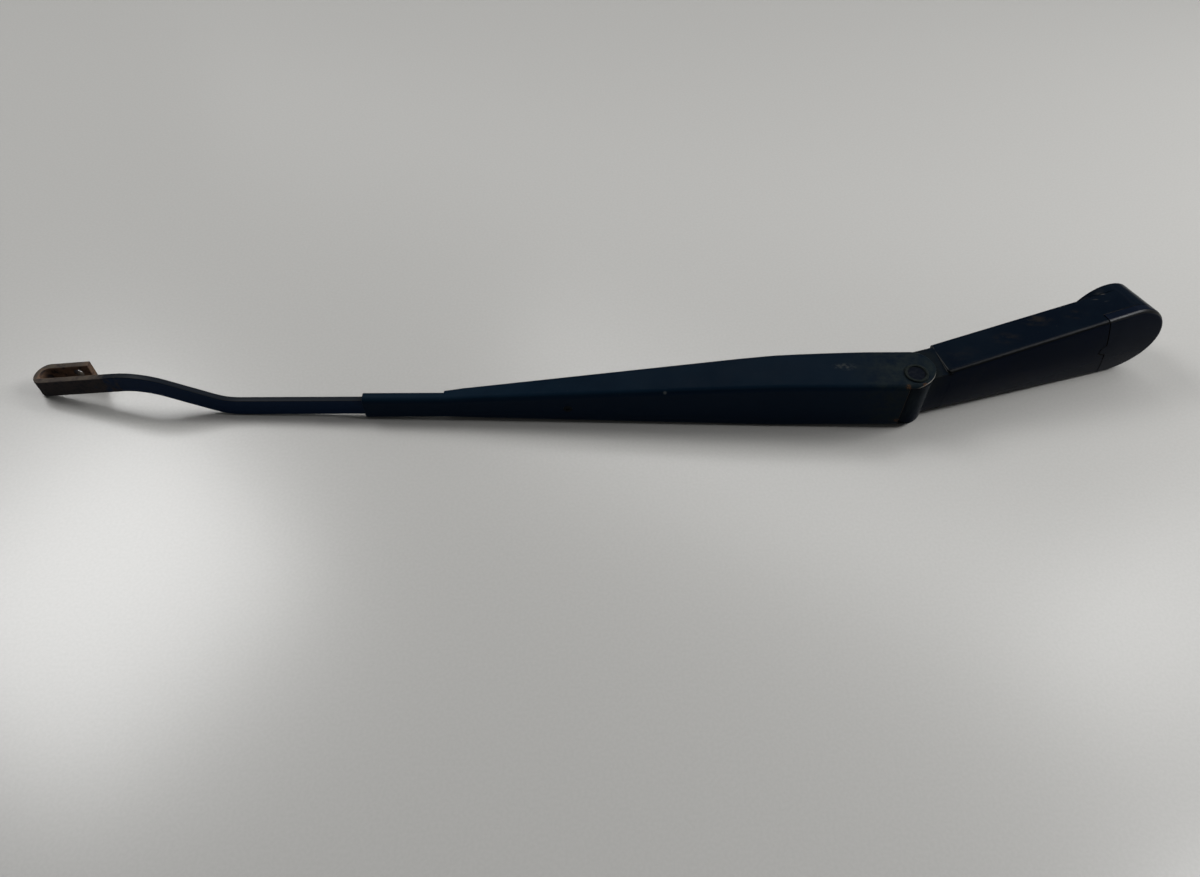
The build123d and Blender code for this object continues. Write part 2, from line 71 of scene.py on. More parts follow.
# %% Place the camera
IMAGE_WIDTH = 1200
FOCAL_PIXELS = 900
SENSOR_WIDTH = 36
CAMERA_FROM_HINGE = Vector((-144.632, -274.573, 311.075)) * MM
CAMERA_PITCH = math.radians(51.336)
CAMERA_YAW = math.radians(0.489)
CAMERA_ROLL = math.radians(0.111)

look = Vector((math.sin(CAMERA_YAW) * math.cos(CAMERA_PITCH),
               math.cos(CAMERA_YAW) * math.cos(CAMERA_PITCH),
               -math.sin(CAMERA_PITCH)))
level = Vector((math.cos(CAMERA_YAW), -math.sin(CAMERA_YAW), 0))
upright = level.cross(look)
right = level * math.cos(CAMERA_ROLL) + upright * math.sin(CAMERA_ROLL)
up = right.cross(look)
camera_data = bpy.data.cameras.new("camera")
camera_data.sensor_fit = "HORIZONTAL"
camera_data.sensor_width = SENSOR_WIDTH
camera_data.lens = FOCAL_PIXELS / IMAGE_WIDTH * SENSOR_WIDTH
camera_data.clip_start = 0.01
camera = bpy.data.objects.new("camera", camera_data)
turn = Matrix((right, up, -look)).transposed().to_4x4()
camera.matrix_world = Matrix.Translation(HINGE + CAMERA_FROM_HINGE) @ turn
bpy.context.scene.collection.objects.link(camera)
bpy.context.scene.camera = camera
print("lens", round(camera_data.lens, 2), "mm")

# %% [markdown]
# ## Where the table is
#
# An arm that is laid down rolls until three points carry it: the round boss, the lower edge of the channel
# and the tip of the hook. A physics run would find them, but those three points are also a face of the
# arm's convex hull, the one straight below its middle, so the hull gives the table's plane at once.

# %% Find the face that the arm rests on
HEAVY_PIECES = ("head", "retainer", "retainer", "wiper_bar")

hull = bmesh.new()
for node in frame["nodes"].values():
    for vertex in node.data.vertices:
        hull.verts.new(vertex.co)
bmesh.ops.convex_hull(hull, input=hull.verts)
corners = [corner for name in HEAVY_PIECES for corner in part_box(name)]
middle = sum(corners, Vector()) / len(corners)


def lies_below(face):
    """True where a plumb line from the middle of the arm leaves the hull through this face."""
    if face.normal.z > -0.5:
        return False
    flat = [v.co.xy - middle.xy for v in face.verts]
    turns = [a.cross(b) for a, b in zip(flat, flat[1:] + flat[:1])]
    return min(turns) >= 0 or max(turns) <= 0


resting = next(f for f in hull.faces if lies_below(f))
rest_point = resting.verts[0].co.copy()
table_up = -resting.normal.normalized()
for v in resting.verts:
    print("rests on", [round(c / MM, 1) for c in v.co - HINGE])
hull.free()
print("table leans", round(math.degrees(table_up.angle(Vector((0, 0, 1)))), 2), "degrees")

# %% [markdown]
# ## A short way to write materials
#
# Each finish below is a node tree that starts from the object's own coordinates in metres, so a noise scale
# of 1000 means about one feature per millimetre. Written out in full, such a tree takes pages. A small class
# that adds one kind of node per call, and takes a number or a socket for each input, keeps it readable.


# %% Nodes and sums
class NodeTree:
    """A material under construction, with one short call for each kind of node."""

    def __init__(self, name):
        self.material = bpy.data.materials.new(name)
        self.material.use_nodes = True
        self.tree = self.material.node_tree
        self.shader = self.tree.nodes["Principled BSDF"]
        self.place = self.add("ShaderNodeTexCoord").outputs["Object"]

    def add(self, kind, **settings):
        node = self.tree.nodes.new(kind)
        for key, value in settings.items():
            setattr(node, key, value)
        return node

    def wire(self, value, socket):
        if isinstance(value, bpy.types.NodeSocket):
            self.tree.links.new(value, socket)
        else:
            socket.default_value = value

    def math(self, operation, *values):
        node = self.add("ShaderNodeMath", operation=operation)
        for value, socket in zip(values, node.inputs):
            self.wire(value, socket)
        return node.outputs[0]

    def both(self, a, b):
        return self.math("MULTIPLY", a, b)

    def vector(self, operation, a, b):
        node = self.add("ShaderNodeVectorMath", operation=operation)
        self.wire(a, node.inputs[0])
        self.wire(b, node.inputs[1])
        return node


print("scene starts with", len(bpy.data.materials), "materials from the frame")


# %% Soft steps, mixed colours and noise
class PatternTree(NodeTree):
    """The same, with the patterns that break up a colour."""

    def band(self, value, low, high, out_low=0.0, out_high=1.0):
        """A soft step: out_low at low, out_high at high."""
        node = self.add("ShaderNodeMapRange", interpolation_type="SMOOTHSTEP")
        numbers = {"From Min": low, "From Max": high, "To Min": out_low, "To Max": out_high}
        for name, number in numbers.items():
            node.inputs[name].default_value = number
        self.wire(value, node.inputs["Value"])
        return node.outputs["Result"]

    def mix(self, share, a, b):
        node = self.add("ShaderNodeMix", data_type="RGBA")
        self.wire(share, node.inputs["Factor"])
        for value, socket in ((a, node.inputs["A"]), (b, node.inputs["B"])):
            self.wire((*value, 1.0) if isinstance(value, tuple) else value, socket)
        return node.outputs["Result"]

    def noise(self, scale, detail=3.0, roughness=0.55, stretch=None, offset=None):
        node = self.add("ShaderNodeTexNoise")
        for name, number in (("Scale", scale), ("Detail", detail), ("Roughness", roughness)):
            node.inputs[name].default_value = number
        place = self.place
        if stretch or offset:
            mapping = self.add("ShaderNodeMapping")
            mapping.inputs["Scale"].default_value = stretch or (1, 1, 1)
            mapping.inputs["Location"].default_value = offset or (0, 0, 0)
            self.wire(place, mapping.inputs["Vector"])
            place = mapping.outputs["Vector"]
        self.wire(place, node.inputs["Vector"])
        return node.outputs["Fac"]


print("patterns", [name for name in vars(PatternTree) if not name.startswith("_")])

# %% [markdown]
# ## Masks that find a place on the arm
#
# Wear is never spread evenly. It sits at one place, on one side, or along an edge. Painted masks would need
# texture images, so here a mask is worked out from where a point is, which way its surface faces, and
# whether it lies on a softened edge. None of these depends on the camera, so they hold from every side.


# %% Masks, bump and the shader's inputs
class Finish(PatternTree):
    """A finish of the arm: patterns, masks for its wear, and the shader that they end in."""

    def spot(self, x, y, z, radius, stretch=(1, 1, 1)):
        """1 at a place in millimetres from the hinge pin's middle, and 0 beyond a radius."""
        shifted = self.vector("SUBTRACT", self.place, HINGE + Vector((x, y, z)) * MM)
        scaled = self.vector("MULTIPLY", shifted.outputs[0], stretch)
        length = self.add("ShaderNodeVectorMath", operation="LENGTH")
        self.wire(scaled.outputs[0], length.inputs[0])
        return self.band(length.outputs["Value"], radius * MM, radius * MM * 0.25)

    def part_of(self, value, axis):
        split = self.add("ShaderNodeSeparateXYZ")
        self.wire(value, split.inputs[0])
        return split.outputs[axis]

    def axis(self, name):
        """Where a point lies along X, Y or Z of the object, in metres."""
        return self.part_of(self.place, name)

    def faces(self, name):
        """How far a surface looks along X, Y or Z of the object, from -1 to 1."""
        return self.part_of(self.add("ShaderNodeTexCoord").outputs["Normal"], name)

    def front(self, begin=-0.75, full=-0.98):
        """1 on the outer face of the arm, which looks to the viewer."""
        return self.band(self.faces("Y"), begin, full)

    def rounding(self):
        """1 on a rounding between the upper side and the front, 0 on both flats."""
        upper = self.faces("Z")
        ridge = self.both(self.band(upper, 0.35, 0.60), self.band(upper, 0.985, 0.95))
        return self.both(ridge, self.front(-0.10, -0.25))

    def worn(self):
        """1 on a softened edge."""
        return self.add("ShaderNodeAttribute", attribute_name="worn").outputs["Fac"]

    def bump(self, height, distance, strength):
        node = self.add("ShaderNodeBump")
        node.inputs["Distance"].default_value = distance
        node.inputs["Strength"].default_value = strength
        self.wire(height, node.inputs["Height"])
        self.wire(node.outputs["Normal"], self.shader.inputs["Normal"])

    def set(self, **values):
        """Fills inputs of the shader and gives back the finished material."""
        for name, value in values.items():
            self.wire(value, self.shader.inputs[name.replace("_", " ")])
        print(self.material.name, "has", len(self.tree.nodes), "nodes")
        return self.material


print("masks and inputs", [name for name in vars(Finish) if not name.startswith("_")])

# %% [markdown]
# ## Softened edges
#
# No edge on the real arm is a knife edge: sheared sheet, drawn flat bar and cast metal all end in a small
# radius, and paint rounds it further. The CAD solids have plain corners there. A bevel modifier would find
# them too, but the imported mesh is made of triangles, so each solid is copied, its flat faces are joined,
# and only the sharp edges get a narrow two-step bevel. The new faces carry a number called worn, which the
# finishes read where paint has rubbed off an edge. The copy then stands for the solid.

# %% Soften the edges of a mesh
SHARP = math.radians(35)
FLAT = math.radians(0.5)
WELD = 0.002 * MM


def softened_mesh(node_name, width):
    """A copy of a solid's mesh with its sharp edges rounded, never far off the solid."""
    mesh = bmesh.new()
    mesh.from_mesh(frame["nodes"][node_name].data)
    bmesh.ops.remove_doubles(mesh, verts=mesh.verts, dist=WELD)
    solid = BVHTree.FromBMesh(mesh)
    bmesh.ops.dissolve_limit(mesh, angle_limit=FLAT, verts=mesh.verts, edges=mesh.edges)
    edges = [e for e in mesh.edges if e.calc_face_angle(0) > SHARP]
    worn = mesh.faces.layers.float.new("worn")
    rounded = bmesh.ops.bevel(mesh, geom=edges, offset=width, offset_type="OFFSET", segments=2, profile=0.5,
                              affect="EDGES", clamp_overlap=False)
    for face in rounded["faces"]:
        face[worn] = 1.0
    for vertex in mesh.verts:
        nearest, _, _, distance = solid.find_nearest(vertex.co)
        if distance > 0.6 * width:
            vertex.co = nearest
    print(node_name, len(edges), "edges softened,", len(mesh.faces), "faces")
    return mesh


# %% Turn a mesh into a piece of the arm
def piece_from(mesh, name, material):
    """An object from a mesh under construction, smooth except at its sharp edges."""
    bmesh.ops.recalc_face_normals(mesh, faces=mesh.faces)
    data = bpy.data.meshes.new(name)
    mesh.to_mesh(data)
    mesh.free()
    data.shade_smooth()
    data.set_sharp_from_angle(angle=SHARP)
    data.materials.append(material)
    piece = bpy.data.objects.new(name, data)
    bpy.context.scene.collection.objects.link(piece)
    return piece


def stand_for(piece, node_name, body):
    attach(piece, body)
    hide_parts(node_name)
    print(piece.name, "stands for", node_name, "and rides on", body)


def soften(node_name, body, width, material):
    piece = piece_from(softened_mesh(node_name, width), node_name + "_soft", material)
    piece.modifiers.new("even_shading", "WEIGHTED_NORMAL").keep_sharp = True
    stand_for(piece, node_name, body)


# %% [markdown]
# ## The painted steel of the channel
#
# The channel is pressed sheet with a satin black paint that leans to blue-green. Up close it is not one
# colour: it drifts between two tones, grows darker towards the hinge, and fine dust has settled on it in
# specks. Its front is also painted lighter and bluer, a painted reflection of the bluish light it faces. A
# single colour would look like moulded plastic, so each of these is mixed over the last. The paint reflects
# little, so its specular level is low.

# %% Paint on the channel
PAINT_DEEP = (0.0020, 0.0068, 0.0140)
PAINT_FADED = (0.0036, 0.0105, 0.0195)
PAINT_DARK = (0.0010, 0.0036, 0.0078)
PAINT_FRONT_REFLECTION = (0.0036, 0.0100, 0.0215)
DUST = (0.045, 0.048, 0.044)


def painted(finish, deep, faded):
    """Paint that drifts between two tones, with a few fine dust specks."""
    colour = finish.mix(finish.band(finish.noise(28, 5), 0.32, 0.68), deep, faded)
    specks = finish.band(finish.noise(900, 2), 0.70, 0.80, 0, 0.35)
    return finish.mix(specks, colour, DUST)


channel = Finish("channel_paint")
colour = painted(channel, PAINT_DEEP, PAINT_FADED)
to_hinge = channel.band(channel.axis("X"), HINGE.x - 190 * MM, HINGE.x - 80 * MM, 0, 0.5)
colour = channel.mix(to_hinge, colour, PAINT_DARK)
# painted reflection: the front is painted lighter and bluer, standing in for the bluish light it reflects
colour = channel.mix(channel.front(), colour, PAINT_FRONT_REFLECTION)
print("channel paint darkens from", round((HINGE.x - 190 * MM) / MM), "mm to the hinge")

# %% [markdown]
# ## Dirt and rust on the channel
#
# Greenish-grey road dirt sits round the hinge, a pale smear and one chip lie further along, the nose of the
# ear is rubbed bare and carries a painted highlight, and the cut edge beside the knuckle has rusted, worst at
# its corners. Scattered noise alone would put such marks anywhere, so each has its place, and noise only
# breaks up its outline.

# %% Dirt, bare edges and rust
ROAD_DIRT = (0.0105, 0.0150, 0.0155)
CHIP = (0.05, 0.055, 0.06)
BARE_EDGE_AND_HIGHLIGHT = (0.20, 0.19, 0.17)
RUST_BROWN = (0.040, 0.024, 0.014)
RUST_ORANGE = (0.080, 0.038, 0.016)
RUSTY_CORNERS = ((-4.9, -7.2, 12.6, 1.8), (2.6, -6.6, 13.0, 1.8), (-4.6, -8.2, -9, 2.4))

dirt_grain = channel.band(channel.noise(210, 6, 0.7), 0.3, 0.75)
dirt = channel.both(channel.spot(4, 4, 13, 42, (1, 0.7, 0.6)), dirt_grain)
colour = channel.mix(dirt, colour, ROAD_DIRT)
smear_grain = channel.band(channel.noise(700, 3), 0.35, 0.7)
smear = channel.both(channel.spot(-31.4, 4.6, 13.4, 7.5, (1, 2.6, 1)), smear_grain)
colour = channel.mix(channel.both(smear, 0.55), colour, DUST)
colour = channel.mix(channel.spot(-113.4, -7.9, 10.1, 1.1), colour, CHIP)
# the nose of the ear: a bare rubbed edge with a painted highlight on it
nose_wear_and_highlight = channel.both(channel.worn(), channel.spot(5, -5.5, 13, 9))
colour = channel.mix(nose_wear_and_highlight, colour, BARE_EDGE_AND_HIGHLIGHT)
cut_edge = channel.both(channel.worn(), channel.spot(-4, -8, 2, 22, (3, 1, 1)))
colour = channel.mix(channel.both(cut_edge, 0.8), colour, RUST_BROWN)
rust_grain = channel.band(channel.noise(1500, 4, 0.7), 0.42, 0.60)
for x, y, z, radius in RUSTY_CORNERS:
    rust = channel.both(channel.spot(x, y, z, radius, (1, 1, 1.4)), rust_grain)
    colour = channel.mix(rust, colour, RUST_ORANGE)
channel.bump(channel.noise(1600, 3), 0.03 * MM, 0.35)
channel_paint = channel.set(Base_Color=colour, Specular_IOR_Level=0.02,
                            Roughness=channel.band(channel.noise(120, 4), 0.3, 0.7, 0.30, 0.42))
soften("retainer", "arm", 0.22 * MM, channel_paint)

# %% [markdown]
# ## The paint on the bar
#
# The flat bar carries the same black paint as the channel, only thinner. Its front is painted a little
# lighter and bluer, a painted reflection of the bluish light it faces, and its upward edge is painted grey, a
# painted sheen. Both follow from the way the surface faces, so no edge has to be picked.

# %% Bar paint
BAR_PAINT_DEEP = (0.0030, 0.0068, 0.0135)
BAR_PAINT_FADED = (0.0042, 0.0090, 0.0175)
BAR_FRONT_REFLECTION = (0.0040, 0.0140, 0.0390)
BAR_TOP_SHEEN = (0.0125, 0.0150, 0.0190)

bar = Finish("bar_paint_and_rust")
bar_colour = painted(bar, BAR_PAINT_DEEP, BAR_PAINT_FADED)
# painted reflection: the bar's front is painted lighter and bluer, standing in for the bluish light it
# reflects
bar_colour = bar.mix(bar.front(), bar_colour, BAR_FRONT_REFLECTION)
# painted sheen: upward faces are painted grey, standing in for the light they catch
bar_colour = bar.mix(bar.band(bar.faces("Z"), 0.3, 0.8, 0, 0.8), bar_colour, BAR_TOP_SHEEN)
print("bar paint takes", len(bar.tree.nodes), "nodes")

# %% [markdown]
# ## The rusty hook
#
# The blade has rubbed the paint off the hook, and the bare steel there has turned brown. Rust isn't one
# colour: dark crust, brown film, a paler upward edge, and fresh orange inside the bend and at the cut end.
# The inside of the hook is what lies near the middle line between its two legs, so a distance from that
# line finds it.

# %% Rust colours
RUST_CRUST = (0.0235, 0.0225, 0.0270)
RUST_FILM = (0.0380, 0.0325, 0.0320)
RUST_PALE = (0.080, 0.066, 0.053)
RUST_FRESH = (0.155, 0.098, 0.066)
HOOK_MIDDLE = HINGE + Vector((-390.15, 6.81, 0)) * MM
HOOK_SLOPE = -0.1104

grain = bar.noise(420, 6, 0.7)
rust = bar.mix(bar.band(grain, 0.34, 0.56), RUST_CRUST, RUST_FILM)
edge_grain = bar.band(bar.noise(260, 5, 0.65, offset=(1, 4, 2)), 0.25, 0.6)
rust = bar.mix(bar.both(bar.band(bar.faces("Z"), 0.35, 0.9), edge_grain), rust, RUST_PALE)
middle_line = bar.math("MULTIPLY_ADD", bar.axis("X"), -HOOK_SLOPE, HOOK_MIDDLE.x * HOOK_SLOPE - HOOK_MIDDLE.y)
from_middle = bar.math("ABSOLUTE", bar.math("ADD", middle_line, bar.axis("Y")))
inside_grain = bar.band(bar.noise(300, 4, offset=(3, 1, 2)), 0.30, 0.58)
inside = bar.both(bar.band(from_middle, 3.35 * MM, 2.95 * MM), inside_grain)
inside = bar.both(inside, bar.band(bar.axis("X"), HINGE.x - 399.6 * MM, HINGE.x - 399.0 * MM))
rust = bar.mix(bar.both(inside, 0.85), rust, RUST_FRESH)
cut_end = bar.both(bar.spot(-375.5, 9.7, 7.6, 5, (1.3, 1, 0.7)), bar.band(grain, 0.32, 0.52))
rust = bar.mix(bar.both(cut_end, 0.8), rust, RUST_FRESH)
print("hook leans", round(math.degrees(math.atan(HOOK_SLOPE)), 1), "degrees in plan")

# %% [markdown]
# ## Where paint gives way to rust
#
# A straight border between paint and rust would look masked off. Noise pushes the border to and fro along
# the bar by up to 9 mm, so the paint lets go in patches. The same mask makes the rust rougher and bumpier.

# %% Bar finish
ragged = bar.math("ADD", bar.axis("X"), bar.band(bar.noise(170, 5, 0.65), 0.2, 0.8, -9 * MM, 9 * MM))
rusted = bar.band(ragged, HINGE.x - 357.5 * MM, HINGE.x - 365.5 * MM)
bar.bump(bar.both(grain, bar.band(rusted, 0, 1, 0.12, 1)), 0.12 * MM, 0.7)
bar_finish = bar.set(Base_Color=bar.mix(rusted, bar_colour, rust), Specular_IOR_Level=0.03,
                     Roughness=bar.band(rusted, 0, 1, 0.34, 0.80))
soften("wiper_bar", "arm", 0.45 * MM, bar_finish)

# %% [markdown]
# ## The cast head: paint and marks
#
# The head is a die casting under a smoother black paint. Its front is painted bluer in patches, a painted
# reflection of the bluish light it faces. Brown fingermarks and one scratch on the boss make it a used part.
# Each mark is a spot that noise breaks up, as on the channel; a stretched noise turns into the scratch's fine
# parallel lines.

# %% Head paint and marks
HEAD_DEEP = (0.0022, 0.0044, 0.0088)
HEAD_FADED = (0.0036, 0.0068, 0.0116)
HEAD_FRONT_REFLECTION = (0.0024, 0.0048, 0.0122)
FINGERMARK = (0.020, 0.017, 0.013)
SCRATCHED = (0.11, 0.105, 0.095)
FINGERMARKS = ((63.1, 32.2, 15.6, 8, 0.55), (46, 21.1, 14.7, 7, 0.35), (81.7, 34, 17.5, 6, 0.4),
               (30, 5, 6, 12, 0.15), (52, 11, -4, 16, 0.12), (24, 12, 13, 9, 0.2))

head = Finish("cast_head_paint")
colour = painted(head, HEAD_DEEP, HEAD_FADED)
front_reflection_grain = head.band(head.noise(70, 6, 0.65), 0.3, 0.7, 0.45, 1.0)
# painted reflection: the head's front is painted bluer in patches, standing in for the bluish light it
# reflects
colour = head.mix(head.both(head.front(-0.5, -0.9), front_reflection_grain), colour, HEAD_FRONT_REFLECTION)
smudge_grain = head.band(head.noise(260, 5, 0.65, stretch=(0.6, 1, 1)), 0.40, 0.66)
for x, y, z, radius, amount in FINGERMARKS:
    mark = head.both(head.spot(x, y, z, radius, (0.8, 1.3, 1)), smudge_grain)
    colour = head.mix(head.both(mark, amount), colour, FINGERMARK)
scratch_lines = head.band(head.noise(900, 1, stretch=(0.10, 0.55, 0.5), offset=(0.4, 0, 0)), 0.60, 0.66)
scratch = head.both(head.spot(96.6, 45, 18.2, 5.5), scratch_lines)
colour = head.mix(head.both(scratch, 0.35), colour, SCRATCHED)
print(len(FINGERMARKS), "fingermarks on the head")

# %% [markdown]
# ## The cast head: tongue and edges
#
# Dirt lies on the tongue and the knuckle, where the channel never wipes it off. On the knuckle it is drawn in
# upright streaks that are also a painted reflection of the table. The joint to the cap is a dark line, and a
# dark spot of painted shade fills the notch at the shoulder's lower end. Hands have rubbed the long rounded
# edge grey. It scatters light more than the paint and reflects it like metal, so a lamp draws a light line
# along it. A brighter lamp on glossy paint would draw that line too, but it would grey the flat front with
# it.

# %% Head finish
TONGUE_DIRT = (0.0090, 0.0112, 0.0112)
KNUCKLE_DIRT_AND_SHEEN = (0.0135, 0.0190, 0.0240)
DARK_JOINT_AND_SHADE = (0.0006, 0.0008, 0.0010)
SHOULDER_EDGE = (0.07, 0.072, 0.07)
HANDLED_EDGE = (0.0120, 0.0125, 0.0135)

tongue_grain = head.band(head.noise(190, 6, 0.7), 0.22, 0.62)
tongue = head.both(head.spot(3, 4, 11.5, 17, (1, 0.8, 0.9)), tongue_grain)
colour = head.mix(tongue, colour, TONGUE_DIRT)
# dirt on the knuckle, in upright streaks that are partly a painted reflection of the table
knuckle_sheen_streaks = head.band(head.noise(150, 6, 0.7, stretch=(1, 1, 0.25)), 0.3, 0.7)
knuckle = head.both(head.spot(1, -6, 0, 17, (1.3, 1.3, 0.8)), knuckle_sheen_streaks)
colour = head.mix(knuckle, colour, KNUCKLE_DIRT_AND_SHEEN)
joint_edge = head.both(head.worn(), head.spot(100, 30, 0, 45))
colour = head.mix(joint_edge, colour, DARK_JOINT_AND_SHADE)
shoulder = head.both(head.worn(), head.spot(14, 10.5, 12, 24, (2.5, 0.9, 1.2)))
colour = head.mix(head.both(shoulder, 0.6), colour, SHOULDER_EDGE)
# painted shade: a dark spot in the notch at the shoulder's lower end
colour = head.mix(head.spot(16.4, 2.2, 11.8, 2.2), colour, DARK_JOINT_AND_SHADE)
handled = head.rounding()
colour = head.mix(handled, colour, HANDLED_EDGE)
head.bump(head.noise(1100, 3), 0.03 * MM, 0.08)
gloss = head.band(head.noise(90, 5), 0.3, 0.7, 0.17, 0.22)
head_paint = head.set(Base_Color=colour, Specular_IOR_Level=0.011, Metallic=handled,
                      Roughness=head.math("ADD", gloss, head.both(handled, 0.22)))
soften("head", "head", 0.30 * MM, head_paint)

# %% [markdown]
# ## The spindle cap
#
# The cap is moulded plastic that covers the nut on the spindle. It is a shade greyer than the paint, with a
# fine grain and short scuffs. Its rim at the joint is a dark groove, and its rounded edge is handled like
# the head's but paler, because bare plastic shows rubbing more. The head's masks do for it as they are.

# %% Cap plastic
CAP_DEEP = (0.0030, 0.0056, 0.0120)
CAP_FADED = (0.0052, 0.0082, 0.0155)
CAP_HANDLED = (0.0400, 0.0410, 0.0430)

cap = Finish("cap_plastic")
colour = cap.mix(cap.band(cap.noise(60, 5), 0.3, 0.7), CAP_DEEP, CAP_FADED)
scuffs = cap.both(cap.band(cap.noise(420, 3, stretch=(0.25, 1, 1)), 0.62, 0.74), 0.12)
colour = cap.mix(scuffs, colour, DUST)
colour = cap.mix(cap.worn(), colour, DARK_JOINT_AND_SHADE)
handled = cap.rounding()
colour = cap.mix(handled, colour, CAP_HANDLED)
cap.bump(cap.noise(2600, 2), 0.02 * MM, 0.10)
gloss = cap.band(cap.noise(160, 4), 0.3, 0.7, 0.18, 0.23)
cap_plastic = cap.set(Base_Color=colour, Specular_IOR_Level=0.014, Metallic=handled,
                      Roughness=cap.math("ADD", gloss, cap.both(handled, 0.20)))
soften("spindle_cap", "cap", 0.18 * MM, cap_plastic)

# %% [markdown]
# ## The hinge pin and the rivet
#
# The pin's rim has caught dirt and its dish has stayed dark. Two materials on two sets of faces could show
# that, but the border would be too neat, so one colour follows the distance from the pin's axis. The rivet
# was painted with the channel and only needs a darker, slightly uneven black.

# %% Pin
RIM_DEEP = (0.0060, 0.0088, 0.0088)
RIM_PALE = (0.0150, 0.0185, 0.0175)
DISH_DEEP = (0.0020, 0.0034, 0.0070)
DISH_PALE = (0.0072, 0.0090, 0.0125)

pin = Finish("dirty_pin")
in_plan = pin.vector("MULTIPLY", pin.place, (1, 1, 0))
from_axis = pin.vector("DISTANCE", in_plan.outputs[0], HINGE)
rim = pin.band(from_axis.outputs["Value"], 3.6 * MM, 4.4 * MM)
rim_colour = pin.mix(pin.band(pin.noise(500, 5, 0.7), 0.3, 0.7), RIM_DEEP, RIM_PALE)
dish_colour = pin.mix(pin.band(pin.noise(600, 4), 0.45, 0.75), DISH_DEEP, DISH_PALE)
pin.bump(pin.noise(900, 4), 0.05 * MM, 0.5)
pin_finish = pin.set(Base_Color=pin.mix(rim, dish_colour, rim_colour), Roughness=0.42,
                     Specular_IOR_Level=0.025)
soften("hinge_pin", "arm", 0.12 * MM, pin_finish)

# %% Rivet
RIVET_DEEP = (0.0012, 0.0028, 0.0052)
RIVET_FADED = (0.0026, 0.0056, 0.0095)

rivet = Finish("painted_rivet")
colour = rivet.mix(rivet.band(rivet.noise(300, 4), 0.3, 0.7), RIVET_DEEP, RIVET_FADED)
rivet.bump(rivet.noise(1600, 3), 0.03 * MM, 0.4)
rivet_finish = rivet.set(Base_Color=colour, Specular_IOR_Level=0.05,
                         Roughness=rivet.band(rivet.noise(400, 3), 0.3, 0.7, 0.34, 0.5))

# %% [markdown]
# ## Oiled steel and nylon
#
# Inside the channel, the spring, its link and the anchor pin are dull oiled steel with brown film in the
# gaps, and the bush in the tongue is nylon that was once white. Where the film lies, the steel is less
# metallic and rougher, so one mask drives all three. The rivet and the link are round already: their
# solids stay, and only get a finish.

# %% Steel and nylon
STEEL = (0.155, 0.150, 0.142)
BROWN_FILM = (0.060, 0.036, 0.020)
NYLON = (0.50, 0.48, 0.42)
NYLON_SOILED = (0.24, 0.22, 0.18)

steel = Finish("oiled_steel")
film = steel.band(steel.noise(330, 6, 0.7), 0.42, 0.66)
steel.bump(steel.noise(1300, 4), 0.03 * MM, 0.5)
steel_finish = steel.set(Base_Color=steel.mix(film, STEEL, BROWN_FILM),
                         Metallic=steel.band(film, 0, 1, 0.95, 0.35),
                         Roughness=steel.band(film, 0, 1, 0.36, 0.72))
nylon = Finish("nylon")
soiled = nylon.band(nylon.noise(220, 5), 0.35, 0.7)
nylon.bump(nylon.noise(900, 3), 0.02 * MM, 0.4)
nylon_finish = nylon.set(Base_Color=nylon.mix(soiled, NYLON, NYLON_SOILED),
                         Roughness=nylon.band(nylon.noise(300, 3), 0.3, 0.7, 0.40, 0.60))
soften("spring_anchor_pin", "head", 0.25 * MM, steel_finish)
soften("hinge_bush", "head", 0.12 * MM, nylon_finish)
for name, finish in (("bar_rivet", rivet_finish), ("spring_link", steel_finish)):
    frame["nodes"][name].data.materials.clear()
    frame["nodes"][name].data.materials.append(finish)
    print(name, "keeps its solid and gets", finish.name)

# %% [markdown]
# ## The path of the spring's wire
#
# The spring that presses the arm down is close-wound wire: a first few turns that narrow round the link's
# shank, a long even coil, and a loop at its tail through the raised end of the bar. The solid is a ridged
# tube. A screw modifier could wind the coil but not the loop, so the wire's centre line is worked out point
# by point: the coil, a smooth bridge, and the loop.

# %% Coil and loop
LINK_AT = joint_at["link_swing"]
TAIL_AT = joint_at["spring_swing"]
COIL_FROM = 33.4 * MM
COIL_TO = 120.6 * MM
COIL_TURNS = 48
COIL_RADIUS = 3.6 * MM
MOUTH_RADIUS = 2.5 * MM
CONE_TURNS = 3
LOOP_RADIUS = 3.3 * MM
STEPS = 28
LOOP_STEPS = 30
along = (TAIL_AT - LINK_AT).normalized()
side = Vector((0, 0, 1))
away = side.cross(along) * -1


def coil_point(turn):
    """The wire's centre after this many turns of the coil."""
    share = min(turn / CONE_TURNS, 1)
    radius = MOUTH_RADIUS + (COIL_RADIUS - MOUTH_RADIUS) * share
    angle = 2 * math.pi * turn
    centre = LINK_AT + along * (COIL_FROM + (COIL_TO - COIL_FROM) * turn / COIL_TURNS)
    return centre + away * (radius * math.cos(angle)) + side * (radius * math.sin(angle))


def loop_point(share):
    """The wire's centre along the tail loop, which starts over the coil's end."""
    angle = math.radians(150 - 330 * share)
    return TAIL_AT + along * (LOOP_RADIUS * math.cos(angle)) + away * (LOOP_RADIUS * math.sin(angle))


coil = [coil_point(i / STEPS) for i in range(COIL_TURNS * STEPS + 1)]
loop = [loop_point(i / LOOP_STEPS) for i in range(LOOP_STEPS + 1)]
print("coil", len(coil), "points, loop", len(loop), "points")

# %% Bridge from the coil to the loop
BRIDGE_PULL = 6 * MM
BRIDGE_STEPS = 10

leave, arrive = coil[-1], loop_point(0)
leave_pull = (coil[-1] - coil[-2]).normalized() * BRIDGE_PULL
arrive_pull = (loop_point(0.02) - loop_point(0)).normalized() * BRIDGE_PULL


